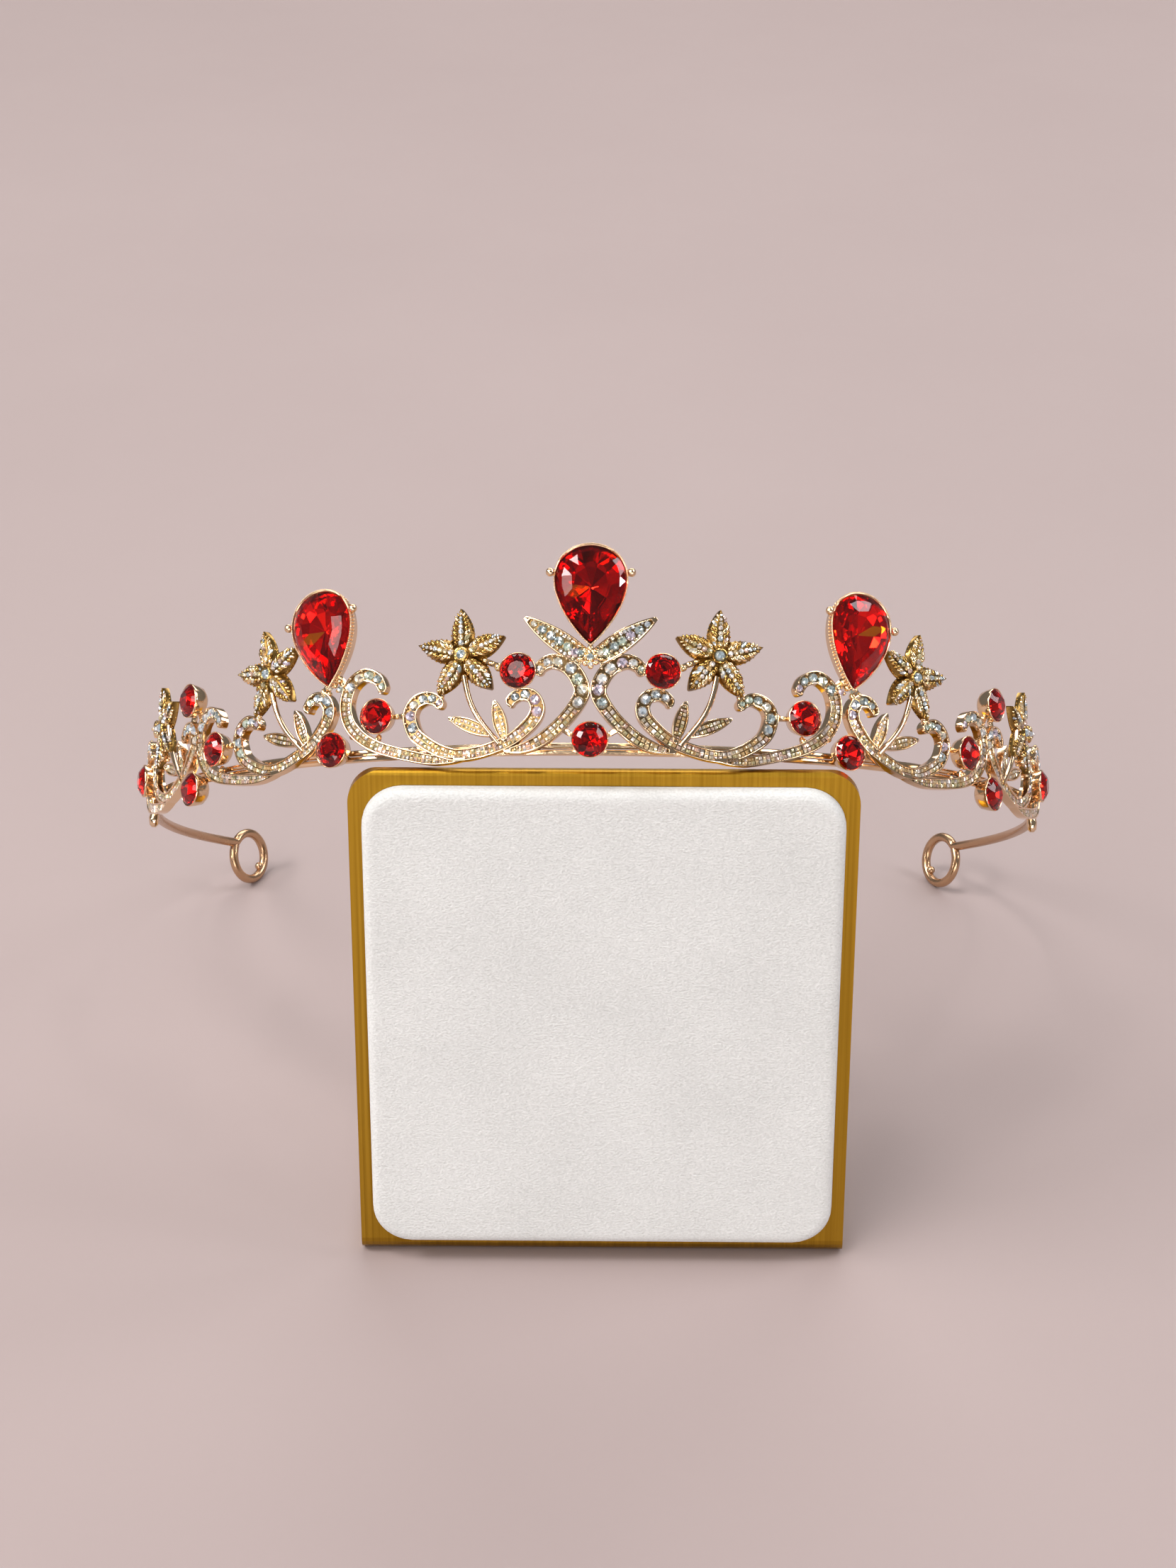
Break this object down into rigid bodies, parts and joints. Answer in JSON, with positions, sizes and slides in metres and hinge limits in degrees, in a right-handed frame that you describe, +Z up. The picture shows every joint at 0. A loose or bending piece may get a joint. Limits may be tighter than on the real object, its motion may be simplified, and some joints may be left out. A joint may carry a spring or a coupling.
{
  "type": "tiara on display stand",
  "caption": "Scrollwork tiara with leaves, flowers and red glass stones, resting on a padded gold display plate.",
  "frame": {"origin": "middle of the underside of the stand's foot, on the surface it rests on", "axes": "+Z up, -Y towards the front of the tiara, +X along its width, to the right seen from the front"},
  "size_m": [0.149, 0.1083, 0.1069],
  "materials": {
    "tiara_metal": "polished pale gold",
    "wire_metal": "drawn wire, satin",
    "red_glass": "faceted, polished",
    "clear_glass": "faceted, polished",
    "stand_metal": "brushed",
    "pad_suede": "fine suede"
  },
  "bodies": {
    "root": {"lace": "tiara_metal", "tail_wire_left": "wire_metal", "tail_wire_right": "wire_metal", "pear_stone_centre": "red_glass", "pear_stone_left": "red_glass", "pear_stone_right": "red_glass", "round_stone_centre": "red_glass", "round_stone_left_1": "red_glass", "round_stone_left_2": "red_glass", "round_stone_left_3": "red_glass", "round_stone_left_4": "red_glass", "round_stone_left_5": "red_glass", "round_stone_left_6": "red_glass", "round_stone_left_7": "red_glass", "round_stone_right_1": "red_glass", "round_stone_right_2": "red_glass", "round_stone_right_3": "red_glass", "round_stone_right_4": "red_glass", "round_stone_right_5": "red_glass", "round_stone_right_6": "red_glass", "round_stone_right_7": "red_glass", "stand_plate": "stand_metal", "stand_pad": "pad_suede"}
  },
  "joints": []
}
